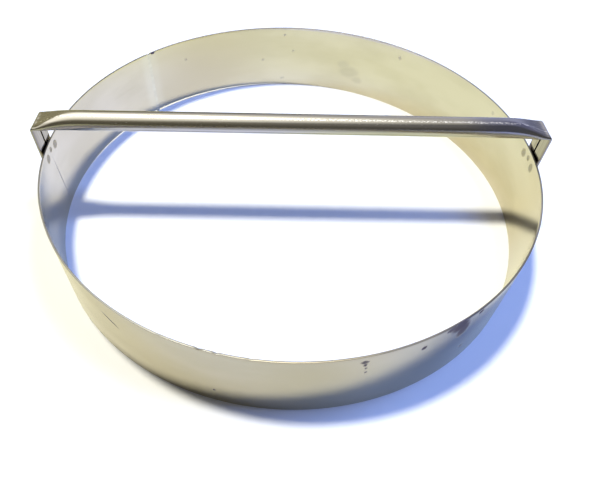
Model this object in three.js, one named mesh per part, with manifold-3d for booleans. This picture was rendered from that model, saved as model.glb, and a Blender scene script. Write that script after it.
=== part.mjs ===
// Round cutter for pizza bases: a sheet-metal ring with a tube handle welded across it.
// Millimetres, +Z up, +X along the handle. The origin is the ring's centre on its cutting plane.

import * as THREE from 'three';
import { mergeVertices } from 'three/addons/utils/BufferGeometryUtils.js';
import Module from 'manifold-3d';

// Cutting ring, a strip rolled into a circle
const RING_DIAMETER = 304.8; // outside
const RING_HEIGHT = 50.8;
const RING_WALL = 1.0;
const RING_STEPS = 180;

// Butt weld that closes the strip into a ring
const SEAM_ANGLE = THREE.MathUtils.degToRad(135); // from +X, seen from above
const SEAM_WIDTH = 2.4;
const SEAM_CROWN = 0.2; // stands proud of both faces of the wall
const SEAM_SETBACK = 0.5; // from the ring's edges to the ends of the bead
const SEAM_STEPS = 6;

// Handle, one open-seam tube: a round grip, flattened ends, and a leg bent down from each end
const TUBE_DIAMETER = 12;
const TUBE_WALL = 0.8;
const TUBE_SLIT = 1.6; // open seam, under the grip and on the inner face of each leg
const FLAT_HOLLOW = 0.4; // left between the walls of a flattened end
const FLATTEN_LENGTH = 22; // along which the round tube turns flat
const FLATTEN_POWER = 3.5; // the higher it is, the nearer to the bend the tube turns flat
const FLATTEN_EASE = 1.5; // the higher it is, the more softly the tube ends its turn
const GRIP_LIFT = 1.1; // the round tube's axis above the middle of the flattened ends
const HANDLE_RISE = 18.1; // from the ring's rim to the top of the flattened ends
const HANDLE_OFFSET = 2.9; // of the handle from the middle of the ring, towards the front
const BEND_RADIUS = 0.6; // inside each bend
const LEG_OVERLAP = 20; // of each leg down the outside of the ring
const LEG_STANDOFF = 0.4; // from the ring to the inner face of each leg
const CORNER_STEPS = 12; // of the section, round each side of the tube
const TOP_STEPS = 2; // of the section, across the top
const FLATTEN_STEPS = 12;
const BEND_STEPS = 4;

// Spot welds, through the ring's wall to the inner face of each leg
const EDGE_WELD_DIAMETER = 5.8; // the two near a leg's edges
const EDGE_WELD_INSET = 1.3; // of their middles from the leg's edges
const MIDDLE_WELD_DIAMETER = 3.8;
const MIDDLE_WELD_RAISE = 1.6; // above the other two
const WELD_DEPTH = 6.0; // from the rim to the middle of the edge welds
const WELD_DIMPLE = 0.15; // pressed into the inner face
const WELD_FLOOR = 0.65; // share of a dimple's radius that is flat
const WELD_STEPS = 24;

// Kept between pieces that touch
const CLEARANCE = 0.3;

// Sizes that follow
const RING_RADIUS = RING_DIAMETER / 2;
const RING_BORE = RING_RADIUS - RING_WALL;
const FLAT_THICKNESS = 2 * TUBE_WALL + FLAT_HOLLOW;
const ROUND_RADIUS = (TUBE_DIAMETER - TUBE_WALL) / 2; // middle of the wall, round tube
const FLAT_RADIUS = (TUBE_WALL + FLAT_HOLLOW) / 2; // middle of the wall, folded edge of a flat end
const GIRTH = 2 * Math.PI * ROUND_RADIUS; // round the middle of the wall, slit included
const LEG_WIDTH = straightSide(FLAT_RADIUS) + 2 * FLAT_RADIUS + TUBE_WALL;
const LEG_INNER_FACE = RING_RADIUS + LEG_STANDOFF;
const LEG_MIDDLE = LEG_INNER_FACE + FLAT_THICKNESS / 2;
const FLAT_MIDDLE = RING_HEIGHT + HANDLE_RISE - FLAT_THICKNESS / 2;

const wasm = await Module();
wasm.setup();

// Joins and cuts

function solid(geometry) {
  const bare = geometry.clone();
  bare.deleteAttribute('normal');
  bare.deleteAttribute('uv');
  const merged = mergeVertices(bare, 1e-3);
  const mesh = new wasm.Mesh({
    numProp: 3,
    vertProperties: new Float32Array(merged.attributes.position.array),
    triVerts: new Uint32Array(merged.index.array),
  });
  return new wasm.Manifold(mesh);
}

function geometryOf(body) {
  const mesh = body.getMesh();
  const geometry = new THREE.BufferGeometry();
  geometry.setAttribute('position', new THREE.BufferAttribute(mesh.vertProperties, 3));
  geometry.setIndex(new THREE.BufferAttribute(mesh.triVerts, 1));
  geometry.computeVertexNormals();
  return geometry;
}

// Section of the tube

// The section is a stadium with the same girth at every station, so the tube flattens as sheet does.
function straightSide(endRadius) {
  return (GIRTH - 2 * Math.PI * endRadius) / 2;
}

// Point and outward normal at a distance round the middle of the wall, from the middle of the slit.
function sectionPoint(endRadius, distance) {
  const side = straightSide(endRadius);
  const arc = Math.PI * endRadius;
  if (distance <= side / 2) {
    return { across: distance, up: -endRadius, normal: [0, -1] };
  }
  if (distance <= side / 2 + arc) {
    const turn = (distance - side / 2) / endRadius - Math.PI / 2;
    const normal = [Math.cos(turn), Math.sin(turn)];
    return { across: side / 2 + endRadius * normal[0], up: endRadius * normal[1], normal };
  }
  if (distance <= GIRTH / 2) {
    return { across: side + arc - distance, up: endRadius, normal: [0, 1] };
  }
  const mirrored = sectionPoint(endRadius, GIRTH - distance);
  return { across: -mirrored.across, up: mirrored.up, normal: [-mirrored.normal[0], mirrored.normal[1]] };
}

// Distances round the wall at which the section has its points, from one edge of the slit to the other.
function sectionDistances(endRadius) {
  const side = Math.max(straightSide(endRadius), 3 * TUBE_SLIT);
  const firstHalf = [TUBE_SLIT / 2, side / 2, (GIRTH - side) / 2];
  const stops = [...firstHalf, ...firstHalf.map((stop) => GIRTH - stop).reverse()];
  const steps = [1, CORNER_STEPS, TOP_STEPS, CORNER_STEPS, 1];
  const distances = [stops[0]];
  steps.forEach((count, part) => {
    for (let step = 1; step <= count; step++) {
      distances.push(THREE.MathUtils.lerp(stops[part], stops[part + 1], step / count));
    }
  });
  return distances;
}

// Closed loop of the section: the outside of the wall, then back along its inside.
function sectionLoop(endRadius) {
  const middle = sectionDistances(endRadius).map((distance) => sectionPoint(endRadius, distance));
  const offset = (point, by) => [point.across + by * point.normal[0], point.up + by * point.normal[1]];
  const outside = middle.map((point) => offset(point, TUBE_WALL / 2));
  const inside = middle.map((point) => offset(point, -TUBE_WALL / 2));
  return [...outside, ...inside.reverse()];
}

// Stations along the right half of the handle, from the middle of the grip to the foot of the leg.
// The turn is how far the tube has bent down from level.
function rightStations() {
  const bendMiddle = BEND_RADIUS + FLAT_THICKNESS / 2;
  const bendStart = LEG_MIDDLE - bendMiddle;
  const stations = [{ x: 0, z: FLAT_MIDDLE + GRIP_LIFT, turn: 0, endRadius: ROUND_RADIUS }];
  for (let step = 0; step <= FLATTEN_STEPS; step++) {
    const share = step / FLATTEN_STEPS;
    const flatness = 1 - (1 - share ** FLATTEN_POWER) ** FLATTEN_EASE;
    stations.push({
      x: bendStart - FLATTEN_LENGTH * (1 - share),
      z: FLAT_MIDDLE + GRIP_LIFT * (1 - flatness),
      turn: 0,
      endRadius: THREE.MathUtils.lerp(ROUND_RADIUS, FLAT_RADIUS, flatness),
    });
  }
  for (let step = 1; step <= BEND_STEPS; step++) {
    const turn = (Math.PI / 2) * (step / BEND_STEPS);
    stations.push({
      x: bendStart + bendMiddle * Math.sin(turn),
      z: FLAT_MIDDLE - bendMiddle * (1 - Math.cos(turn)),
      turn,
      endRadius: FLAT_RADIUS,
    });
  }
  stations.push({ x: LEG_MIDDLE, z: RING_HEIGHT - LEG_OVERLAP, turn: Math.PI / 2, endRadius: FLAT_RADIUS });
  return stations;
}

// Stations from the foot of the left leg to the foot of the right one.
function handleStations() {
  const right = rightStations();
  const mirror = (station) => ({ ...station, x: -station.x, turn: -station.turn });
  const left = right.slice(1).map(mirror).reverse();
  return [...left, ...right];
}

// Loft through the stations, closed at both feet.
function handleGeometry() {
  const positions = [];
  const indices = [];
  const stations = handleStations();
  let count = 0;
  for (const { x, z, turn, endRadius } of stations) {
    const loop = sectionLoop(endRadius);
    count = loop.length;
    for (const [across, up] of loop) {
      positions.push(x + up * Math.sin(turn), across - HANDLE_OFFSET, z + up * Math.cos(turn));
    }
  }
  for (let station = 0; station + 1 < stations.length; station++) {
    for (let point = 0; point < count; point++) {
      const here = station * count + point;
      const beside = station * count + ((point + 1) % count);
      indices.push(here, beside, beside + count, here, beside + count, here + count);
    }
  }
  const lastLoop = (stations.length - 1) * count;
  for (let point = 0; point + 1 < count / 2; point++) {
    const across = count - 1 - point;
    indices.push(point, across - 1, point + 1, point, across, across - 1);
    indices.push(lastLoop + point, lastLoop + point + 1, lastLoop + across - 1);
    indices.push(lastLoop + point, lastLoop + across - 1, lastLoop + across);
  }
  const geometry = new THREE.BufferGeometry();
  geometry.setAttribute('position', new THREE.Float32BufferAttribute(positions, 3));
  geometry.setIndex(indices);
  geometry.computeVertexNormals();
  return geometry;
}

// Spot welds

// Each weld lies along a radius of the ring, so it is placed by its angle and height.
function spotWelds() {
  const legs = [
    { side: 'left', sign: -1 },
    { side: 'right', sign: 1 },
  ];
  const edge = LEG_WIDTH / 2 - EDGE_WELD_INSET;
  const places = [
    { place: 'front', across: -HANDLE_OFFSET - edge, raise: 0, diameter: EDGE_WELD_DIAMETER },
    { place: 'middle', across: -HANDLE_OFFSET, raise: MIDDLE_WELD_RAISE, diameter: MIDDLE_WELD_DIAMETER },
    { place: 'rear', across: edge - HANDLE_OFFSET, raise: 0, diameter: EDGE_WELD_DIAMETER },
  ];
  return legs.flatMap(({ side, sign }) => places.map(({ place, across, raise, diameter }) => ({
    name: `${side}_weld_${place}`,
    angle: Math.atan2(across, sign * Math.sqrt(RING_BORE ** 2 - across ** 2)),
    height: RING_HEIGHT - WELD_DEPTH + raise,
    radius: diameter / 2,
    reach: weldReach(Math.abs(across), diameter / 2),
  })));
}

// Distance from the ring's axis, along the weld's radius, to the weld's end beside the leg.
function weldReach(across, radius) {
  const lean = Math.asin(across / RING_BORE);
  return (LEG_INNER_FACE - CLEARANCE - radius * Math.sin(lean)) / Math.cos(lean);
}

// Turns a form that stands along +Y to the weld's radius.
function weldPlacement({ angle, height }) {
  const turned = new THREE.Matrix4().makeRotationZ(angle - Math.PI / 2);
  return new THREE.Matrix4().makeTranslation(0, 0, height).multiply(turned);
}

function weldGeometry({ radius, reach }) {
  const profile = [
    [0, RING_BORE + WELD_DIMPLE],
    [WELD_FLOOR * radius, RING_BORE + WELD_DIMPLE],
    [radius, RING_BORE],
    [radius, reach],
    [0, reach],
  ];
  return new THREE.LatheGeometry(profile.map(([r, y]) => new THREE.Vector2(r, y)), WELD_STEPS);
}

// Clears the wall round a weld.
function weldHole(weld) {
  const radius = weld.radius + CLEARANCE;
  const length = 4 * RING_WALL;
  const hole = new THREE.CylinderGeometry(radius, radius, length, WELD_STEPS);
  hole.translate(0, RING_RADIUS - RING_WALL / 2, 0);
  hole.applyMatrix4(weldPlacement(weld));
  return hole;
}

// Ring and its seam

function ringGeometry(welds) {
  const gap = (SEAM_WIDTH / 2 + CLEARANCE) / RING_BORE;
  const start = SEAM_ANGLE + gap;
  const end = SEAM_ANGLE - gap + 2 * Math.PI;
  const outline = new THREE.Shape();
  outline.absarc(0, 0, RING_RADIUS, start, end, false);
  outline.absarc(0, 0, RING_BORE, end, start, true);
  const strip = new THREE.ExtrudeGeometry(outline, {
    depth: RING_HEIGHT,
    bevelEnabled: false,
    curveSegments: Math.round(RING_STEPS / 2),
  });
  const cut = welds.reduce((body, weld) => body.subtract(solid(weldHole(weld))), solid(strip));
  return geometryOf(cut);
}

function seamGeometry() {
  const half = SEAM_WIDTH / 2;
  const outline = new THREE.Shape();
  outline.moveTo(-half, 0);
  outline.quadraticCurveTo(0, -2 * SEAM_CROWN, half, 0);
  outline.lineTo(half, RING_WALL);
  outline.quadraticCurveTo(0, RING_WALL + 2 * SEAM_CROWN, -half, RING_WALL);
  outline.lineTo(-half, 0);
  const bead = new THREE.ExtrudeGeometry(outline, {
    depth: RING_HEIGHT - 2 * SEAM_SETBACK,
    bevelEnabled: false,
    curveSegments: SEAM_STEPS,
  });
  bead.translate(0, RING_BORE, 0);
  return bead;
}

// Assembly

function piece(name, geometry, finish) {
  const mesh = new THREE.Mesh(geometry, new THREE.MeshStandardMaterial(finish));
  mesh.name = name;
  return mesh;
}

const RING_FINISH = { color: 0xc9c3b4, roughness: 0.32, metalness: 1 };
const TUBE_FINISH = { color: 0xbcbcb8, roughness: 0.22, metalness: 1 };
const WELD_FINISH = { color: 0x9a917f, roughness: 0.5, metalness: 1 };
const SEAM_FINISH = { color: 0xd6d2c6, roughness: 0.4, metalness: 1 };

const cutter = new THREE.Group();
const welds = spotWelds();

cutter.add(piece('cutter_ring', ringGeometry(welds), RING_FINISH));

const seam = piece('ring_seam_weld', seamGeometry(), SEAM_FINISH);
seam.position.z = SEAM_SETBACK;
seam.rotation.z = SEAM_ANGLE - Math.PI / 2;
cutter.add(seam);

cutter.add(piece('handle', handleGeometry(), TUBE_FINISH));

for (const weld of welds) {
  const button = piece(weld.name, weldGeometry(weld), WELD_FINISH);
  button.applyMatrix4(weldPlacement(weld));
  cutter.add(button);
}

export default cutter;
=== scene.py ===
"""Round cutter for pizza bases, dressed in worn stainless steel. Metres, +Z up, +X along the handle."""

import math

import bmesh
import bpy
from mathutils import Matrix, Quaternion, Vector, noise

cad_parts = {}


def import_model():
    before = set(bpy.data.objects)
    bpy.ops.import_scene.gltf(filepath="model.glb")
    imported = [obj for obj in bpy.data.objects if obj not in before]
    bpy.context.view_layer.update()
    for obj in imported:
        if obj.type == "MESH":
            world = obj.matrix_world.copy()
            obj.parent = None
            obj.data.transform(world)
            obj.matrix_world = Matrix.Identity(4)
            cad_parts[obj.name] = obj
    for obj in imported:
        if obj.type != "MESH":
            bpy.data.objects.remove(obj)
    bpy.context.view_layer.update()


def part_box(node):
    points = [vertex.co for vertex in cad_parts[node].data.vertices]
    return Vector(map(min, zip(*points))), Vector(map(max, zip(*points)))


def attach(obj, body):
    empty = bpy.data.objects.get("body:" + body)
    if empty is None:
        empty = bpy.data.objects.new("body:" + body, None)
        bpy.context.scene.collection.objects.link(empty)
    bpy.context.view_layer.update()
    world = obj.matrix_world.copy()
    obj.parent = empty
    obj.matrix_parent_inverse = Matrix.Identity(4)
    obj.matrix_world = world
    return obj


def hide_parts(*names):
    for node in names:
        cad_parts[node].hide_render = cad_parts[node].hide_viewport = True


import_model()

MM = 0.001
SHARP_ANGLE = math.radians(40)  # edges sharper than this aren't shaded smooth

# Cutting ring
RING_LOW, RING_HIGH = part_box("cutter_ring")
RING_RADIUS = (RING_HIGH.y - RING_LOW.y) / 2
RING_HEIGHT = RING_HIGH.z
RING_WALL = 1.0 * MM
RING_BORE = RING_RADIUS - RING_WALL
RING_EDGE = 0.2 * MM  # rounding of the sheet's cut edges
RING_STEPS = 540
WALL_ROWS = 24
CORNER_ROWS = 3
RING_WAVE = 0.25 * MM  # how far the rolled sheet leans in, here and there
WAVE_LENGTH = 45 * MM
EDGE_LIFT = 1.7 * MM  # of the cutting edge off the table, where the ring doesn't lie flat
LIFT_ANGLE = math.radians(134)
LIFT_SPREAD = math.radians(70)
RIM_NICKS = [math.radians(angle) for angle in (-114.5, -106.2, -102.8, -97.1)]
NICK_DEPTH = 0.7 * MM
NICK_WIDTH = 1.3 * MM
NICK_REACH = 2 * NICK_DEPTH  # below the rim, where a nick's pull on the sheet ends

# Butt weld that closes the ring
SEAM_LOW, SEAM_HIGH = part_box("ring_seam_weld")
SEAM_MIDDLE = (SEAM_LOW + SEAM_HIGH) / 2
SEAM_ANGLE = math.atan2(SEAM_MIDDLE.y, SEAM_MIDDLE.x)
SEAM_WIDTH = 2.4 * MM
SEAM_CROWN = 0.015 * MM
SEAM_LAP = 0.1 * MM  # of the bead over each end of the sheet
SEAM_STEP = 0.01 * MM  # of the bead's edges above the sheet
SEAM_COLUMNS = 12
SEAM_ROWS = 160
SEAM_FADE = 1.02  # half lengths of the bead from its middle to where its crown would end
SEAM_FADE_POWER = 0.25
RIPPLE_LENGTH = 1.3 * MM
RIPPLE_DEPTH = 0.003 * MM
RING_GAP = (SEAM_WIDTH / 2 - SEAM_LAP) / RING_RADIUS  # half the angle between the ends of the sheet
RING_START = SEAM_ANGLE + RING_GAP
RING_TURN = math.tau - 2 * RING_GAP

# Handle, one open-seam tube
HANDLE_LOW, HANDLE_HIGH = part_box("handle")
TUBE_DIAMETER = 12 * MM
TUBE_WALL = 0.8 * MM
TUBE_SLIT = 1.6 * MM
FLAT_HOLLOW = 0.4 * MM
FLATTEN_LENGTH = 31 * MM
FLATTEN_POWER = 3.0
FLATTEN_EASE = 1.5
GRIP_LIFT = 1.1 * MM
BEND_RADIUS = 0.6 * MM
FLAT_THICKNESS = 2 * TUBE_WALL + FLAT_HOLLOW
ROUND_RADIUS = (TUBE_DIAMETER - TUBE_WALL) / 2
FLAT_RADIUS = (TUBE_WALL + FLAT_HOLLOW) / 2
GIRTH = 2 * math.pi * ROUND_RADIUS
HANDLE_MIDDLE = (HANDLE_LOW.y + HANDLE_HIGH.y) / 2
LEG_MIDDLE = HANDLE_HIGH.x - FLAT_THICKNESS / 2
FLAT_MIDDLE = HANDLE_HIGH.z - TUBE_DIAMETER / 2 - GRIP_LIFT
BEND_MIDDLE = BEND_RADIUS + FLAT_THICKNESS / 2
BEND_START = LEG_MIDDLE - BEND_MIDDLE
LEG_TOP = FLAT_MIDDLE - BEND_MIDDLE
LEG_LENGTH = LEG_TOP - HANDLE_LOW.z
SECTION_STEPS = 120
GRIP_STEPS = 40
FLATTEN_STEPS = 52
BEND_STEPS = 8
LEG_STEPS = 18
SECTION_DISTANCES = [
    TUBE_SLIT / 2 + (GIRTH - TUBE_SLIT) * step / SECTION_STEPS for step in range(SECTION_STEPS + 1)
]
CREASE_DEPTH = 0.4 * MM  # of the crumpled sheet on the flattened ends
CREASE_LENGTH = 11 * MM
CREASE_WIDTH = 2.6 * MM
CREASE_ONSET = 1.3  # the crumpling is full before the tube is flat
FOLD_SHARE, DENT_SHARE = 0.35, 0.15
DENT_PLACE = 7  # in the noise, away from that of the folds

# Spot welds: the inner face as (share of the radius, height above the wall as a share of WELD_PROUD)
WELD_NODES = [f"{side}_weld_{place}" for side in ("left", "right") for place in ("front", "middle", "rear")]
WELD_PROUD = 0.09 * MM
WELD_FACE = [(0, 0.3), (0.35, 0.35), (0.62, 0.7), (0.82, 1), (0.95, 0.6), (1, -1)]
WELD_STEPS = 40

# Stretches of a noise's values that its ramps run over
WIDE_SPAN = (0.3, 0.7)
MIDDLE_SPAN = (0.35, 0.65)
CLOUD_SPAN = (0.5, 0.75)
PIT_SPAN = (0.55, 0.75)
SCUFF_GLINT_SPAN = (0.48, 0.6)

# Steel of the ring, with sizes of its patterns along the sheet and up it
RING_COLOUR = (0.60, 0.553, 0.49, 1)
RING_COLOUR_WARM = (0.54, 0.493, 0.42, 1)
OUTSIDE_PAINTED_SHADE = (0.82, 0.81, 0.80, 1)  # painted shade: the outer face is a little darker
BRIGHT_COLOUR = (0.67, 0.655, 0.625, 1)
EDGE_COLOUR = (0.19, 0.185, 0.175, 1)
# colour of the stains, also used for the painted shade of a notch and the painted reflection of the handle
MARK_SHADE_AND_REFLECTION_COLOUR = (0.05, 0.03, 0.075, 1)
BLOTCH_SIZE = (60 * MM, 26 * MM, 1)
STREAK_SIZE = (45 * MM, 0.9 * MM, 1)
GRAIN_SIZE = (5 * MM, 0.22 * MM, 1)
STREAK_SHARE = 0.10
DRESSED_START, DRESSED_END = 2.4 * MM, 9 * MM  # of the sheet ground bright beside the bead
DRESSED_SHARE = 0.4
RIM_MIDDLE = RING_HEIGHT + RING_WALL / 2  # UV coordinate of the middle of the rim's edge
RIM_START, RIM_END = 0.5 * RING_WALL, 0.9 * RING_WALL
BLOTCH_ROUGHNESS = (0.16, 0.20)
GRAIN_ROUGHNESS = (-0.02, 0.02)
MARK_ROUGHNESS = 0.75
EDGE_ROUGHNESS = 0.25
SHEET_RELIEF = 0.006 * MM

# Marks on the ring: angle in degrees, height, half width and half height in millimetres, strength
OUTER_MARKS = [
    (-77.3, 45.9, 2.5, 2.1, 0.65),
    (-77.1, 42.9, 1.2, 1.9, 0.7),
    (-76.8, 39.6, 0.9, 1.2, 0.6),
    (-76.6, 35.6, 0.9, 1.1, 0.55),
    (-65.6, 42.7, 1.9, 2.1, 0.9),
    (-57.8, 47.0, 7.0, 6.5, 0.7),
    (-56.4, 41.0, 5.0, 8.5, 0.65),
    (-60.0, 48.6, 4.5, 3.2, 0.6),
    (-52.7, 48.4, 2.2, 1.9, 1.0),
    (-53.4, 17.2, 2.2, 1.5, 0.6),
    (-104.4, 12.0, 0.9, 0.9, 0.8),
]
INNER_MARKS = [
    (69.4, 18.4, 11.0, 7.0, 0.07),
    (71.5, 24.0, 7.0, 5.0, 0.06),
    (66.5, 12.5, 6.0, 4.0, 0.07),
    (54.0, 42.6, 2.2, 2.2, 0.15),
    (18.8, 43.8, 2.0, 2.0, 0.10),
    (123.0, 35.1, 1.6, 1.6, 0.15),
    (97.8, 23.3, 1.6, 1.6, 0.12),
    (88.1, 31.2, 1.4, 1.4, 0.12),
    (90.9, 45.0, 1.6, 1.6, 0.15),
    (91.4, 5.8, 2.5, 1.4, 0.12),
    # painted shade of a notch in the rim, beside the seam
    (133.5, 50.2, 2.2, 1.2, 1.0),
]
MARK_SOFTNESS = 0.6
RAGGED_SCALE = 900.0  # per metre, of the noise that frays the marks
RAGGED_REACH = 1.3 * MM

# Painted shade and painted reflections on the ring: wide soft patches that darken and tint the metal where it
# mirrors the shadow on the table and the room; angle, height, half width and half height as above, inside or
# not, colour
PAINTED_SHADE_AND_REFLECTIONS = [
    (-60.0, 33.0, 55.0, 50.0, False, (0.27, 0.255, 0.245, 1)),
    (-55.5, 45.0, 32.0, 26.0, False, (0.065, 0.075, 0.14, 1)),
    (-86.0, 36.0, 52.0, 40.0, False, (0.42, 0.37, 0.265, 1)),
    (118.0, 25.0, 70.0, 60.0, True, (0.51, 0.455, 0.38, 1)),
    (-22.0, 22.0, 42.0, 60.0, True, (0.54, 0.512, 0.515, 1)),
]

# Scratches, and a painted reflection of the handle's lower edge as a thin dark line on the inner wall: the
# two ends as (angle in degrees, height in millimetres), on the inside or not, strength
SCRATCHES_AND_REFLECTION = [
    ((-128.9, 39.9), (-123.9, 32.8), False, 1.0),
    # painted reflection of the handle's lower edge in the inner wall
    ((-178.4, 44.0), (-179.0, 3.5), True, 0.3),
]
LINE_MARK_WIDTH = 0.75 * MM
LINE_MARK_SOFTNESS = 0.5

# Steel of the seam's bead
BEAD_COLOUR = (0.63, 0.61, 0.57, 1)
BEAD_COLOUR_DULL = (0.58, 0.555, 0.515, 1)
BEAD_BLOTCH_SIZE = (4 * MM, 4 * MM, 2 * MM)
BEAD_GRAIN_SIZE = (0.8 * MM,) * 3
BEAD_ROUGHNESS = (0.20, 0.26)
BEAD_RELIEF = 0.004 * MM

# Steel of the tube, with sizes of its patterns along it and round it
TUBE_COLOUR = (0.48, 0.46, 0.425, 1)
TUBE_COLOUR_DULL = (0.42, 0.40, 0.36, 1)
LINE_SIZE = (70 * MM, 0.35 * MM, 1)
BAND_SIZE = (160 * MM, 1.6 * MM, 1)
PIT_SIZE = (2.2 * MM, 0.5 * MM, 1)
CLOUD_SIZE = (30 * MM, 9 * MM, 1)
CLOUD_COLOUR = (0.36, 0.335, 0.28, 1)
CLOUD_SHARE = 0.25
STRIP_PLACE = 0.715 * GIRTH  # round the tube from its slit to a strip of painted dark reflection, low on its front
STRIP_START, STRIP_END = 1.0 * MM, 2.5 * MM
STRIP_COLOUR = (0.13, 0.12, 0.095, 1)
STRIP_SHARE = 0.6
SCUFF_GLINT_PLACE = 0.575 * GIRTH  # round the tube from its slit to a line of scuffs with painted glints, near the top
SCUFF_GLINT_START, SCUFF_GLINT_END = 0.32 * MM, 0.8 * MM
SCUFF_GLINT_SIZE = (1.5 * MM, 0.4 * MM, 1)
SCUFF_GLINT_COLOUR = (0.92, 0.91, 0.89, 1)
BLUE_REFLECTION_PLACE = 62 * MM  # from the right foot to the middle of a painted blue-grey reflection on the flattened end
BLUE_REFLECTION_SIZE = (30 * MM, 15 * MM)
BLUE_REFLECTION_SOFTNESS = 0.7
BLUE_REFLECTION_COLOUR = (0.24, 0.25, 0.34, 1)
BLUE_REFLECTION_SHARE = 0.8
UNDER_START, UNDER_END = 0.24 * GIRTH, 0.26 * GIRTH  # from the top of the tube to its underside
LEG_COLOUR = (0.26, 0.22, 0.19, 1)  # of the darker inner faces of the legs
LEG_SHARES = (0.3, 0.65)
LEG_SMOOTHNESS = 0.35  # of the tube's roughness, on those faces
LINE_ROUGHNESS = (0.14, 0.22)
PIT_ROUGHNESS = (0, 0.08)
PIT_RELIEF = 0.5  # as a share of that of the lines
TUBE_RELIEF = 0.012 * MM

# Steel of the spot welds, with places as shares of the radius
BURNT_MIDDLE = (0.39, 0.365, 0.35, 1)
BURNT_RING = (0.42, 0.38, 0.30, 1)
BURNT_EDGE = (0.56, 0.52, 0.44, 1)
BURNT_RING_SPAN = (0.15, 0.55)
BURNT_EDGE_SPAN = (0.65, 1.0)
BURNT_DRIFT = (-0.12, 0.12)
BURNT_BLOTCH_SIZE = (1.5 * MM,) * 3
BURNT_GRAIN_SIZE = (0.6 * MM,) * 3
BURNT_ROUGHNESS = (0.42, 0.55)
BURNT_RELIEF = 0.02 * MM

# Camera, lamps and table
CAMERA_PLACE = Vector((-0.01007, -0.26004, 0.25517))
CAMERA_AIM = Vector((-0.01083, -0.07279, 0.0254))
CAMERA_ROLL = math.radians(0.895)
CAMERA_LENS = 30.70
CAMERA_SHIFT = (0.05, 0.0333)
CAMERA_NEAR = 0.01
LAMP_PLACE = Vector((-0.47, 0.20, 2.2))
LAMP_SIZE = (0.26, 0.26)
LAMP_LEVEL = 1.0  # 1 makes a white table square to the lamp white
LAMP_COLOUR = (1.0, 0.975, 0.84)
WINDOW_PLACE = Vector((0.66, 0.05, 1.36))
WINDOW_SIZE = (0.56, 0.6)
WINDOW_LEVEL = 0.84
WINDOW_COLOUR = (0.245, 0.40, 0.98)
WHITE = (1, 1, 1, 1)
TABLE_SIZE = 0.96  # beyond it the metal mirrors the dim room
TABLE_COLOUR = (0.93, 0.93, 0.93, 1)
TABLE_ROUGHNESS = 0.9
TABLE_WARM = (0.94, 0.912, 0.545, 1)  # painted lamp light on the table, as mirrored by walls that face the lamp
TABLE_COOL = (0.90, 0.895, 0.94, 1)  # painted window light on the table, as mirrored by walls that face the window
TINT_REACH = 0.005  # square metres, see table_tint
TINT_TILT = 0.5  # how far the cool side is turned to the front, inside the ring
TINT_OUTSIDE = 0.28  # of the tint, outside the ring
TABLE_GLOW = 0.03
WHITE_START, WHITE_FULL = 0.30, 0.44  # from the ring's axis to where the table fades into the backdrop

# Light of the room: a colour all round, and soft patches as direction, cosines of edge and middle, colour
FILL_ROOM = (0.06, 0.06, 0.058)
MIRRORED_ROOM = (0.125, 0.12, 0.105)
MIRRORED_PATCHES = [
    ((-0.40, 0.02, 0.92), 0.55, 1.00, (2.1, 2.06, 1.88)),
    ((0.25, 0.80, 0.55), 0.80, 0.97, (0.55, 0.55, 0.57)),
    ((-0.45, -0.80, 0.30), 0.55, 0.99, (0.17, 0.15, 0.09)),
    ((0.45, -0.75, 0.35), 0.60, 0.99, (0.05, 0.055, 0.08)),
    ((0.75, 0.10, 0.65), 0.75, 0.97, (0.18, 0.19, 0.33)),
    ((-0.65, 0.72, 0.20), 0.78, 0.97, (0.30, 0.27, 0.13)),
    ((0.65, 0.72, 0.20), 0.78, 0.97, (0.16, 0.18, 0.32)),
]


# Meshes

def shown(name, mesh, material, nodes):
    """Puts a finished mesh in the scene, in place of CAD nodes."""
    mesh.materials.append(material)
    piece = bpy.data.objects.new(name, mesh)
    bpy.context.scene.collection.objects.link(piece)
    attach(piece, "root")
    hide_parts(*nodes)


def smooth(mesh):
    """Turns the faces outwards and shades them smooth, apart from sharp edges."""
    work = bmesh.new()
    work.from_mesh(mesh)
    bmesh.ops.recalc_face_normals(work, faces=work.faces)
    work.to_mesh(mesh)
    work.free()
    mesh.shade_smooth()
    mesh.set_sharp_from_angle(angle=SHARP_ANGLE)


def loft(name, loops, along, around):
    """Closed mesh through loops of points. The second half of a loop runs back beside the first.

    along and around are its UV coordinates, in metres: one for each loop, and one for each point and the end.
    """
    count = len(loops[0])
    last = len(loops) - 1
    faces = []
    places = []
    for row in range(last):
        start, end = along[row], along[row + 1]
        for column in range(count):
            beside = (column + 1) % count
            here, there = row * count, (row + 1) * count
            faces.append((here + column, here + beside, there + beside, there + column))
            left, right = around[column], around[column + 1]
            places += [(start, left), (start, right), (end, right), (end, left)]
    for row in (0, last):
        for column in range(count // 2 - 1):
            across = count - 1 - column
            corners = (column, column + 1, across - 1, across)
            faces.append(tuple(row * count + corner for corner in corners))
            places += [(along[row], around[corner]) for corner in corners]
    mesh = bpy.data.meshes.new(name)
    mesh.from_pydata([point for loop in loops for point in loop], [], faces)
    layer = mesh.uv_layers.new(name="metres")
    layer.data.foreach_set("uv", [number for place in places for number in place])
    smooth(mesh)
    return mesh


def lathe(name, profile, steps, placement):
    """Closed mesh turned about +Z; the profile's first and last points are on the axis."""
    rings = profile[1:-1]
    points = [placement @ Vector((0, 0, profile[0][1])), placement @ Vector((0, 0, profile[-1][1]))]
    for radius, height in rings:
        for step in range(steps):
            turn = math.tau * step / steps
            points.append(placement @ Vector((radius * math.cos(turn), radius * math.sin(turn), height)))
    faces = []
    for step in range(steps):
        beside = (step + 1) % steps
        faces.append((0, 2 + step, 2 + beside))
        for row in range(len(rings) - 1):
            here = 2 + row * steps
            faces.append((here + step, here + steps + step, here + steps + beside, here + beside))
        top = 2 + (len(rings) - 1) * steps
        faces.append((1, top + beside, top + step))
    mesh = bpy.data.meshes.new(name)
    mesh.from_pydata(points, [], faces)
    smooth(mesh)
    return mesh


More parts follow.
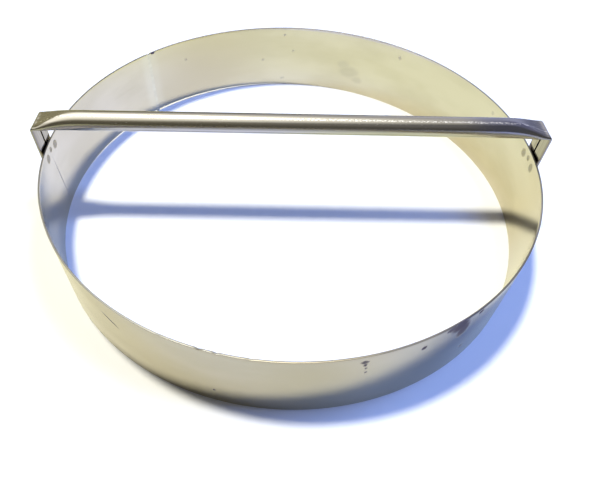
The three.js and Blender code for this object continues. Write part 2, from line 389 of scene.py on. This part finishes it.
def smoothstep(share):
    share = min(max(share, 0), 1)
    return share * share * (3 - 2 * share)


def bump(distance, width):
    """1 in the middle, falling smoothly to 0 a width away."""
    return smoothstep(1 - abs(distance) / width)


def turn_between(first, second):
    """Smallest turn from one angle to another."""
    return (second - first + math.pi) % math.tau - math.pi


# Cutting ring and its seam

def ring_section():
    """Outside and then inside of the sheet, as (depth from the outer face, height)."""
    turns = [math.pi / 2 * row / CORNER_ROWS for row in range(CORNER_ROWS + 1)]
    foot = [(RING_EDGE * (1 - math.sin(turn)), RING_EDGE * (1 - math.cos(turn))) for turn in turns]
    rows = [row / WALL_ROWS for row in range(1, WALL_ROWS)]
    wall = [(0, RING_EDGE + (RING_HEIGHT - 2 * RING_EDGE) * row) for row in rows]
    rim = [(depth, RING_HEIGHT - height) for depth, height in reversed(foot)]
    outside = foot + wall + rim
    return outside + [(RING_WALL - depth, height) for depth, height in reversed(outside)]


def ring_point(angle, depth, height):
    """A point of the sheet, with the lean, lift and nicks that the ring has at that angle."""
    round_place = Vector((math.cos(angle), math.sin(angle), 0)) * RING_RADIUS
    wave = noise.noise((round_place + Vector((0, 0, height))) / WAVE_LENGTH)
    radius = RING_RADIUS - depth - RING_WAVE * (0.5 + 0.5 * wave)
    lift = EDGE_LIFT * bump(turn_between(LIFT_ANGLE, angle), LIFT_SPREAD)
    up = height + lift * (1 - height / RING_HEIGHT)
    near_rim = smoothstep((height - RING_HEIGHT + NICK_REACH) / NICK_REACH)
    for nick in RIM_NICKS:
        up -= NICK_DEPTH * bump(turn_between(nick, angle) * RING_RADIUS, NICK_WIDTH) * near_rim
    return Vector((radius * math.cos(angle), radius * math.sin(angle), up))


def ring_place(angle, height, inside=False):
    """UV coordinates of a place on the ring's wall."""
    along = (angle - RING_START) % math.tau * RING_RADIUS
    return along, 2 * RING_HEIGHT + RING_WALL - height if inside else height


def ring_mesh():
    section = ring_section()
    half = len(section) // 2
    angles = [RING_START + RING_TURN * step / RING_STEPS for step in range(RING_STEPS + 1)]
    loops = [[ring_point(angle, depth, height) for depth, height in section] for angle in angles]
    along = [(angle - RING_START) * RING_RADIUS for angle in angles]
    around = [ring_place(0, height, column >= half)[1] for column, (_, height) in enumerate(section)]
    return loft("cutter_ring_sheet", loops, along, around + [2 * (RING_HEIGHT + RING_WALL)])


def seam_loop(height):
    """Outside and then inside of the bead at a height, a little proud of both faces of the sheet."""
    shares = [2 * step / SEAM_COLUMNS - 1 for step in range(SEAM_COLUMNS + 1)]
    half_length = (SEAM_HIGH.z - SEAM_LOW.z) / 2
    ripple = RIPPLE_DEPTH * math.sin(math.tau * height / RIPPLE_LENGTH)
    foot = ring_point(SEAM_ANGLE, 0, height).xy.length
    ends = bump(height - (SEAM_LOW.z + SEAM_HIGH.z) / 2, half_length * SEAM_FADE) ** SEAM_FADE_POWER
    loop = []
    for side, radius in ((1, foot), (-1, foot - RING_WALL)):
        for share in shares[::side]:
            crown = SEAM_STEP + (SEAM_CROWN + ripple) * (1 - share * share) * ends
            angle = SEAM_ANGLE + share * SEAM_WIDTH / 2 / RING_RADIUS
            reach = radius + side * crown
            loop.append(Vector((reach * math.cos(angle), reach * math.sin(angle), height)))
    return loop


def seam_mesh():
    """The bead, with the ripples of its making."""
    low, high = SEAM_LOW.z, SEAM_HIGH.z
    heights = [low + (high - low) * row / SEAM_ROWS for row in range(SEAM_ROWS + 1)]
    loops = [seam_loop(height) for height in heights]
    around = [column * SEAM_WIDTH / SEAM_COLUMNS for column in range(len(loops[0]) + 1)]
    return loft("ring_seam_bead", loops, heights, around)


# Handle

def straight_side(end_radius):
    """Flat stretch of a section with round ends, so that its girth is always the tube's."""
    return (GIRTH - 2 * math.pi * end_radius) / 2


def section_point(end_radius, distance):
    """Point and outward normal at a distance round the middle of the wall, from the middle of the slit."""
    if distance > GIRTH / 2:
        across, up, normal = section_point(end_radius, GIRTH - distance)
        return -across, up, (-normal[0], normal[1])
    side = straight_side(end_radius)
    arc = math.pi * end_radius
    if distance <= side / 2:
        return distance, -end_radius, (0, -1)
    if distance <= side / 2 + arc:
        turn = (distance - side / 2) / end_radius - math.pi / 2
        normal = (math.cos(turn), math.sin(turn))
        return side / 2 + end_radius * normal[0], end_radius * normal[1], normal
    return side + arc - distance, end_radius, (0, 1)


def crease(x, distance, flatness):
    """How far the crumpled sheet of a flattened end stands in from its true surface."""
    top = bump(distance - GIRTH / 2, GIRTH / 3)
    fold = noise.noise(Vector((x / CREASE_LENGTH, distance / CREASE_WIDTH, 0)))
    dent = noise.noise(Vector((x / CREASE_WIDTH, distance / CREASE_WIDTH, DENT_PLACE)))
    depth = 0.5 + FOLD_SHARE * fold + DENT_SHARE * dent
    return CREASE_DEPTH * smoothstep(flatness * CREASE_ONSET) * top * depth


def tube_loop(station):
    """Outside and then inside of the wall at a station along the handle."""
    x, z, turn, flatness = station
    end_radius = ROUND_RADIUS + (FLAT_RADIUS - ROUND_RADIUS) * flatness
    outside, inside = [], []
    for distance in SECTION_DISTANCES:
        across, up, normal = section_point(end_radius, distance)
        sunk = crease(x, distance, flatness) if turn == 0 else 0
        for points, offset in ((outside, TUBE_WALL / 2 - sunk), (inside, -TUBE_WALL / 2)):
            side = HANDLE_MIDDLE + across + offset * normal[0]
            height = up + offset * normal[1]
            points.append(Vector((x + height * math.sin(turn), side, z + height * math.cos(turn))))
    return outside + inside[::-1]


def right_stations():
    """(x, z, turn, flatness) from the middle of the grip to the foot of the right leg."""
    grip_end = BEND_START - FLATTEN_LENGTH
    stations = [(grip_end * step / GRIP_STEPS, FLAT_MIDDLE + GRIP_LIFT, 0, 0) for step in range(GRIP_STEPS)]
    for step in range(FLATTEN_STEPS + 1):
        share = step / FLATTEN_STEPS
        flatness = 1 - (1 - share ** FLATTEN_POWER) ** FLATTEN_EASE
        z = FLAT_MIDDLE + GRIP_LIFT * (1 - flatness)
        stations.append((grip_end + FLATTEN_LENGTH * share, z, 0, flatness))
    for step in range(1, BEND_STEPS + 1):
        turn = math.pi / 2 * step / BEND_STEPS
        x = BEND_START + BEND_MIDDLE * math.sin(turn)
        stations.append((x, FLAT_MIDDLE - BEND_MIDDLE * (1 - math.cos(turn)), turn, 1))
    for step in range(1, LEG_STEPS + 1):
        stations.append((LEG_MIDDLE, LEG_TOP - LEG_LENGTH * step / LEG_STEPS, math.pi / 2, 1))
    return stations


def handle_stations():
    """All stations from the foot of the left leg to the foot of the right one, and how far along each is."""
    right = right_stations()
    left = [(-x, z, -turn, flatness) for x, z, turn, flatness in right[:0:-1]]
    stations = left + right
    along = [0]
    for (x, z, *_), (next_x, next_z, *_) in zip(stations, stations[1:]):
        along.append(along[-1] + math.hypot(next_x - x, next_z - z))
    return stations, along


def handle_mesh():
    stations, along = handle_stations()
    around = SECTION_DISTANCES + [2 * GIRTH - distance for distance in SECTION_DISTANCES[::-1]]
    loops = [tube_loop(station) for station in stations]
    return loft("handle_tube", loops, along, around + [2 * GIRTH])


# Spot welds

def weld_place(node):
    """Angle, height and radius of a spot weld, from its solid."""
    low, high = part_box(node)
    middle = (low + high) / 2
    return math.atan2(middle.y, middle.x), middle.z, (high.z - low.z) / 2


def weld_mesh(node):
    """A button through the wall, its inner face pressed hollow inside a low rim."""
    angle, height, radius = weld_place(node)
    low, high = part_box(node)
    length = max(-low.x, high.x) / abs(math.cos(angle))
    wall = ring_point(angle, RING_WALL, height).xy.length
    inner_face = [(share * radius, wall - proud * WELD_PROUD) for share, proud in WELD_FACE]
    profile = inner_face + [(radius, length - WELD_PROUD), (0, length - WELD_PROUD)]
    outward = Vector((math.cos(angle), math.sin(angle), 0)).to_track_quat("Z", "Y").to_matrix().to_4x4()
    return lathe(f"{node}_button", profile, WELD_STEPS, Matrix.Translation((0, 0, height)) @ outward)


# Materials

class Nodes:
    """A node tree, built up node by node. Each method adds nodes and returns what comes out."""

    def __init__(self, tree):
        self.tree = tree

    def node(self, kind, inputs, output=0, **settings):
        made = self.tree.nodes.new("ShaderNode" + kind)
        for name, value in settings.items():
            setattr(made, name, value)
        for socket, value in inputs.items():
            self.give(made.inputs[socket], value)
        return made.outputs[output]

    def give(self, socket, value):
        if isinstance(value, bpy.types.NodeSocket):
            self.tree.links.new(value, socket)
        else:
            socket.default_value = value

    def path(self, output):
        return self.node("LightPath", {}, output=output)

    def own_place(self):
        return self.node("TexCoord", {}, output="Object")

    def axis(self, vector, name):
        return self.node("SeparateXYZ", {0: vector}, output=name)

    def length(self, vector):
        return self.node("VectorMath", {0: vector}, output="Value", operation="LENGTH")

    def ramp(self, value, low, high, start=0.0, end=1.0):
        """Runs smoothly from start to end as the value goes from low to high."""
        inputs = {"Value": value, "From Min": low, "From Max": high, "To Min": start, "To Max": end}
        return self.node("MapRange", inputs, interpolation_type="SMOOTHSTEP")

    def math(self, operation, first, second):
        return self.node("Math", {0: first, 1: second}, operation=operation)

    def product(self, first, second):
        return self.math("MULTIPLY", first, second)

    def rest(self, share):
        """What a share leaves of 1."""
        return self.math("SUBTRACT", 1.0, share)

    def apart(self, first, second):
        """How far two values are apart."""
        return self.math("ABSOLUTE", self.math("SUBTRACT", first, second), 0)

    def mix(self, share, first, second, blend="MIX"):
        inputs = {0: share, 6: first, 7: second}
        return self.node("Mix", inputs, output=2, data_type="RGBA", blend_type=blend)


class Steel(Nodes):
    """A steel material."""

    def __init__(self, name):
        self.material = bpy.data.materials.new(name)
        self.material.use_nodes = True
        super().__init__(self.material.node_tree)
        self.shader = self.tree.nodes["Principled BSDF"]
        self.shader.inputs["Metallic"].default_value = 1.0

    def metres(self):
        return self.node("UVMap", {}, uv_map="metres")

    def moved(self, vector, origin):
        """The coordinates, counted from an origin."""
        return self.node("VectorMath", {0: vector, 1: origin}, operation="SUBTRACT")

    def stretched(self, vector, sizes):
        """The coordinates, divided by a size for each axis."""
        return self.node("VectorMath", {0: vector, 1: [1 / size for size in sizes]}, operation="MULTIPLY")

    def noise(self, vector, sizes, detail=2.0):
        inputs = {"Vector": self.stretched(vector, sizes), "Scale": 1.0, "Detail": detail}
        return self.node("TexNoise", inputs, output="Fac")

    def spot(self, vector, middle, sizes, soft):
        """1 inside an ellipse, falling to 0 at its edge over a soft share of its size."""
        scaled = self.stretched(self.moved(vector, [*middle, 0]), [*sizes, 1])
        return self.ramp(self.length(scaled), 1 - soft, 1, 1, 0)

    def relief(self, height, depth):
        bumped = self.node("Bump", {"Height": height, "Distance": depth, "Strength": 1.0})
        self.give(self.shader.inputs["Normal"], bumped)

    def finish(self, colour, roughness):
        self.give(self.shader.inputs["Base Color"], colour)
        self.give(self.shader.inputs["Roughness"], roughness)
        return self.material


def ring_spot(steel, place, mark, inside, soft):
    """A soft spot on the ring's wall, from its angle in degrees and its sizes in millimetres."""
    degrees, height, half_width, half_height = mark
    middle = ring_place(math.radians(degrees), height * MM, inside)
    return steel.spot(place, middle, (half_width * MM, half_height * MM), soft)


def frayed(steel, place):
    """The coordinates, shifted a little by a noise."""
    inputs = {"Vector": place, "Scale": RAGGED_SCALE, "Detail": 2.0}
    drift = steel.moved(steel.node("TexNoise", inputs, output="Color"), [0.5, 0.5, 0.5])
    drift = steel.node("VectorMath", {0: drift, "Scale": RAGGED_REACH}, operation="SCALE")
    return steel.node("VectorMath", {0: place, 1: drift}, operation="ADD")


def line_mark(steel, place, start, end, inside):
    """1 along a thin line, used for the scratch and for the painted reflection of the handle."""
    places = [ring_place(math.radians(angle), height * MM, inside) for angle, height in (start, end)]
    first, second = (Vector(place_2d) for place_2d in places)
    moved = steel.moved(place, [*((first + second) / 2), 0])
    slope = (second - first).angle_signed(Vector((1, 0)))
    turned = steel.node("VectorRotate", {"Vector": moved, "Angle": -slope}, rotation_type="Z_AXIS")
    length = (second - first).length
    return steel.spot(turned, (0, 0), (length / 2, LINE_MARK_WIDTH), LINE_MARK_SOFTNESS)


def marked(steel, place):
    """How marked the ring's wall is, from 0 to 1: marks with ragged edges, and scratches. The marks are
    stains and the painted shade of a notch in the rim; one scratch is the painted reflection of the handle.
    """
    ragged = frayed(steel, place)
    marking = 0.0
    for inside, marks in ((False, OUTER_MARKS), (True, INNER_MARKS)):
        for *mark, strength in marks:
            spot = ring_spot(steel, ragged, mark, inside, MARK_SOFTNESS)
            marking = steel.math("MAXIMUM", steel.product(spot, strength), marking)
    for start, end, inside, strength in SCRATCHES_AND_REFLECTION:
        line_share = steel.product(line_mark(steel, place, start, end, inside), strength)
        marking = steel.math("MAXIMUM", marking, line_share)
    return marking


def with_painted_shade(steel, place, outside, colour):
    """The colour of the ring, with wide soft patches of painted shade and painted reflection."""
    for *painted_patch, inside, tint in PAINTED_SHADE_AND_REFLECTIONS:
        side = steel.rest(outside) if inside else outside
        share = steel.product(ring_spot(steel, place, painted_patch, inside, soft=1), side)
        colour = steel.mix(share, colour, tint)
    return colour


def ring_steel():
    steel = Steel("rolled_sheet")
    place = steel.metres()
    along, around = steel.axis(place, "X"), steel.axis(place, "Y")
    blotches = steel.noise(place, BLOTCH_SIZE, detail=3)
    streaks = steel.noise(place, STREAK_SIZE, detail=3)
    grain = steel.noise(place, GRAIN_SIZE)
    outside = steel.math("LESS_THAN", around, RIM_MIDDLE)
    from_seam = steel.math("MINIMUM", along, steel.math("SUBTRACT", RING_TURN * RING_RADIUS, along))
    dressed = steel.ramp(from_seam, DRESSED_START, DRESSED_END, DRESSED_SHARE, 0)
    edge = steel.ramp(steel.apart(around, RIM_MIDDLE), RIM_START, RIM_END, 1, 0)
    marking = marked(steel, place)

    colour = steel.mix(steel.ramp(blotches, *MIDDLE_SPAN), RING_COLOUR, RING_COLOUR_WARM)
    colour = steel.mix(steel.ramp(streaks, *WIDE_SPAN, 0, STREAK_SHARE), colour, BRIGHT_COLOUR)
    # painted shade on the outer face
    colour = steel.mix(outside, colour, OUTSIDE_PAINTED_SHADE, "MULTIPLY")
    colour = steel.mix(dressed, colour, BRIGHT_COLOUR)
    colour = steel.mix(edge, colour, EDGE_COLOUR)
    # painted shade and painted reflections
    colour = with_painted_shade(steel, place, outside, colour)
    # stains, with the painted shade of a notch and the painted reflection of the handle
    colour = steel.mix(marking, colour, MARK_SHADE_AND_REFLECTION_COLOUR)
    steel.give(steel.shader.inputs["Metallic"], steel.rest(marking))

    cloudy = steel.ramp(blotches, *WIDE_SPAN, *BLOTCH_ROUGHNESS)
    roughness = steel.math("ADD", cloudy, steel.ramp(grain, *WIDE_SPAN, *GRAIN_ROUGHNESS))
    worn = steel.math("MAXIMUM", steel.product(marking, MARK_ROUGHNESS), steel.product(edge, EDGE_ROUGHNESS))
    steel.relief(steel.math("ADD", grain, streaks), SHEET_RELIEF)
    return steel.finish(colour, steel.math("ADD", roughness, worn))


def seam_steel():
    steel = Steel("weld_bead")
    place = steel.own_place()
    blotches = steel.noise(place, BEAD_BLOTCH_SIZE, detail=3)
    colour = steel.mix(steel.ramp(blotches, *MIDDLE_SPAN), BEAD_COLOUR, BEAD_COLOUR_DULL)
    steel.relief(steel.noise(place, BEAD_GRAIN_SIZE), BEAD_RELIEF)
    return steel.finish(colour, steel.ramp(blotches, *WIDE_SPAN, *BEAD_ROUGHNESS))


def inner_leg_faces(steel, along, around, length):
    """1 on the faces of the legs that look at the ring."""
    from_foot = steel.math("MINIMUM", along, steel.math("SUBTRACT", length, along))
    legs = steel.ramp(from_foot, LEG_LENGTH, LEG_LENGTH + BEND_MIDDLE, 1, 0)
    under = steel.ramp(steel.apart(around, GIRTH / 2), UNDER_START, UNDER_END)
    return steel.product(legs, under)


def tube_steel():
    steel = Steel("polished_tube")
    place = steel.metres()
    along, around = steel.axis(place, "X"), steel.axis(place, "Y")
    length = handle_stations()[1][-1]
    lines = steel.noise(place, LINE_SIZE, detail=3)
    bands = steel.noise(place, BAND_SIZE)
    pits = steel.noise(place, PIT_SIZE)
    cloud = steel.noise(place, CLOUD_SIZE, detail=3)
    dark_strip = steel.ramp(steel.apart(around, STRIP_PLACE), STRIP_START, STRIP_END, STRIP_SHARE, 0)
    blue_reflection = steel.spot(place, (length - BLUE_REFLECTION_PLACE, GIRTH / 2), BLUE_REFLECTION_SIZE, BLUE_REFLECTION_SOFTNESS)
    scuff_glints = steel.ramp(steel.noise(place, SCUFF_GLINT_SIZE, detail=1), *SCUFF_GLINT_SPAN)
    glint_line = steel.ramp(steel.apart(around, SCUFF_GLINT_PLACE), SCUFF_GLINT_START, SCUFF_GLINT_END, 1, 0)
    inner = inner_leg_faces(steel, along, around, length)

    colour = steel.mix(steel.ramp(bands, *MIDDLE_SPAN), TUBE_COLOUR, TUBE_COLOUR_DULL)
    colour = steel.mix(steel.ramp(cloud, *CLOUD_SPAN, 0, CLOUD_SHARE), colour, CLOUD_COLOUR)
    # painted dark reflection low on the tube's front
    colour = steel.mix(dark_strip, colour, STRIP_COLOUR)
    # painted reflection of the cool light on the right flattened end
    colour = steel.mix(steel.product(blue_reflection, BLUE_REFLECTION_SHARE), colour, BLUE_REFLECTION_COLOUR)
    # scuffs, painted bright as glints of the lamp
    colour = steel.mix(steel.product(scuff_glints, glint_line), colour, SCUFF_GLINT_COLOUR)
    brown = steel.product(inner, steel.ramp(bands, *MIDDLE_SPAN, *LEG_SHARES))
    colour = steel.mix(brown, colour, LEG_COLOUR)

    lined = steel.ramp(lines, *WIDE_SPAN, *LINE_ROUGHNESS)
    roughness = steel.math("ADD", lined, steel.ramp(pits, *PIT_SPAN, *PIT_ROUGHNESS))
    roughness = steel.product(roughness, steel.ramp(inner, 0, 1, 1, LEG_SMOOTHNESS))
    steel.relief(steel.math("ADD", lines, steel.product(pits, PIT_RELIEF)), TUBE_RELIEF)
    return steel.finish(colour, roughness)


def weld_steel(node):
    """Burnt metal: grey violet in the middle, a brown ring, and paler towards the edge."""
    angle, height, radius = weld_place(node)
    steel = Steel(f"{node}_scale")
    middle = [RING_BORE * math.cos(angle), RING_BORE * math.sin(angle), height]
    moved = steel.moved(steel.own_place(), middle)
    ragged = steel.noise(moved, BURNT_BLOTCH_SIZE, detail=3)
    share = steel.math("DIVIDE", steel.length(moved), radius)
    share = steel.math("ADD", share, steel.ramp(ragged, *WIDE_SPAN, *BURNT_DRIFT))
    colour = steel.mix(steel.ramp(share, *BURNT_RING_SPAN), BURNT_MIDDLE, BURNT_RING)
    colour = steel.mix(steel.ramp(share, *BURNT_EDGE_SPAN), colour, BURNT_EDGE)
    steel.relief(steel.noise(moved, BURNT_GRAIN_SIZE), BURNT_RELIEF)
    return steel.finish(colour, steel.ramp(ragged, *WIDE_SPAN, *BURNT_ROUGHNESS))


# Table, lamps and camera

def mirrored_share(nodes):
    """1 for what is seen in the metal, and 0 for the light that the metal throws on the table."""
    scattered = nodes.math("MINIMUM", nodes.path("Diffuse Depth"), 1.0)
    return nodes.product(nodes.path("Is Glossy Ray"), nodes.rest(scattered))


def table_tint(nodes, place, out):
    """Colour of the table in the metal, as painted light: warm lamp light at the left of each wall of the
    ring, and cool window light at its right.
    """
    inside = nodes.math("LESS_THAN", out, RING_RADIUS)
    tilt = nodes.product(nodes.axis(place, "Y"), nodes.product(inside, TINT_TILT))
    across = nodes.math("ADD", nodes.axis(place, "X"), tilt)
    side = nodes.product(across, nodes.math("SUBTRACT", out, RING_RADIUS))
    side = nodes.product(side, nodes.ramp(inside, 0, 1, TINT_OUTSIDE, 1))
    return nodes.mix(nodes.ramp(side, -TINT_REACH, TINT_REACH), TABLE_WARM, TABLE_COOL)


def table_material():
    material = bpy.data.materials.new("white_table")
    material.use_nodes = True
    nodes = Nodes(material.node_tree)
    shader = material.node_tree.nodes["Principled BSDF"]
    place = nodes.own_place()
    out = nodes.length(place)
    colour = nodes.mix(mirrored_share(nodes), TABLE_COLOUR, table_tint(nodes, place, out))
    nodes.give(shader.inputs["Base Color"], colour)
    shader.inputs["Roughness"].default_value = TABLE_ROUGHNESS
    shader.inputs["Specular IOR Level"].default_value = 0.0
    shader.inputs["Emission Color"].default_value = WHITE
    faded = nodes.ramp(out, WHITE_START, WHITE_FULL, TABLE_GLOW, 1)
    seen = nodes.product(nodes.path("Is Camera Ray"), faded)
    mirrored = nodes.product(nodes.path("Is Glossy Ray"), TABLE_GLOW)
    nodes.give(shader.inputs["Emission Strength"], nodes.math("MAXIMUM", seen, mirrored))
    return material


def table():
    work = bmesh.new()
    bmesh.ops.create_grid(work, x_segments=1, y_segments=1, size=TABLE_SIZE / 2)
    mesh = bpy.data.meshes.new("table")
    work.to_mesh(mesh)
    work.free()
    mesh.materials.append(table_material())
    floor = bpy.data.objects.new("table", mesh)
    bpy.context.scene.collection.objects.link(floor)


def lamp(name, place, size, level, colour, mirrored):
    """A panel of light, turned to the ring. It may be left out of what the metal mirrors."""
    light = bpy.data.lights.new(name, "AREA")
    light.shape = "ELLIPSE" if mirrored else "RECTANGLE"
    light.size, light.size_y = size
    light.color = colour
    light.energy = level * (math.pi * place.length) ** 2
    holder = bpy.data.objects.new(name, light)
    holder.location = place
    holder.rotation_mode = "QUATERNION"
    holder.rotation_quaternion = (-place).to_track_quat("-Z", "Y")
    holder.visible_glossy = mirrored
    bpy.context.scene.collection.objects.link(holder)


def room_light(nodes, all_round, patches):
    """Colour that comes from each direction."""
    direction = nodes.node("TexCoord", {}, output="Generated")
    colour = (*all_round, 1)
    for middle, edge_cosine, middle_cosine, patch_colour in patches:
        inputs = {0: direction, 1: Vector(middle).normalized()[:]}
        facing = nodes.node("VectorMath", inputs, output="Value", operation="DOT_PRODUCT")
        share = nodes.ramp(facing, edge_cosine, middle_cosine)
        colour = nodes.mix(share, colour, (*patch_colour, 1), "ADD")
    return colour


def world():
    """A dim room, brighter where the metal mirrors its ceiling, and white behind the table."""
    made = bpy.data.worlds.new("room")
    made.use_nodes = True
    bpy.context.scene.world = made
    nodes = Nodes(made.node_tree)
    mirrored = room_light(nodes, MIRRORED_ROOM, MIRRORED_PATCHES)
    colour = nodes.mix(mirrored_share(nodes), (*FILL_ROOM, 1), mirrored)
    colour = nodes.mix(nodes.path("Is Camera Ray"), colour, WHITE)
    nodes.give(made.node_tree.nodes["Background"].inputs["Color"], colour)


def camera():
    data = bpy.data.cameras.new("camera")
    data.lens = CAMERA_LENS
    data.shift_x, data.shift_y = CAMERA_SHIFT
    data.clip_start = CAMERA_NEAR
    holder = bpy.data.objects.new("camera", data)
    holder.location = CAMERA_PLACE
    holder.rotation_mode = "QUATERNION"
    level = (CAMERA_AIM - CAMERA_PLACE).to_track_quat("-Z", "Y")
    holder.rotation_quaternion = level @ Quaternion((0, 0, 1), CAMERA_ROLL)
    bpy.context.scene.collection.objects.link(holder)
    bpy.context.scene.camera = holder


def build():
    shown("ring_sheet", ring_mesh(), ring_steel(), ["cutter_ring"])
    shown("seam_bead", seam_mesh(), seam_steel(), ["ring_seam_weld"])
    shown("handle_tube", handle_mesh(), tube_steel(), ["handle"])
    for node in WELD_NODES:
        shown(f"{node}_button", weld_mesh(node), weld_steel(node), [node])


camera()
table()
lamp("overhead_lamp", LAMP_PLACE, LAMP_SIZE, LAMP_LEVEL, LAMP_COLOUR, mirrored=True)
lamp("window", WINDOW_PLACE, WINDOW_SIZE, WINDOW_LEVEL, WINDOW_COLOUR, mirrored=False)
world()
build()
bpy.context.scene.view_settings.view_transform = "Standard"
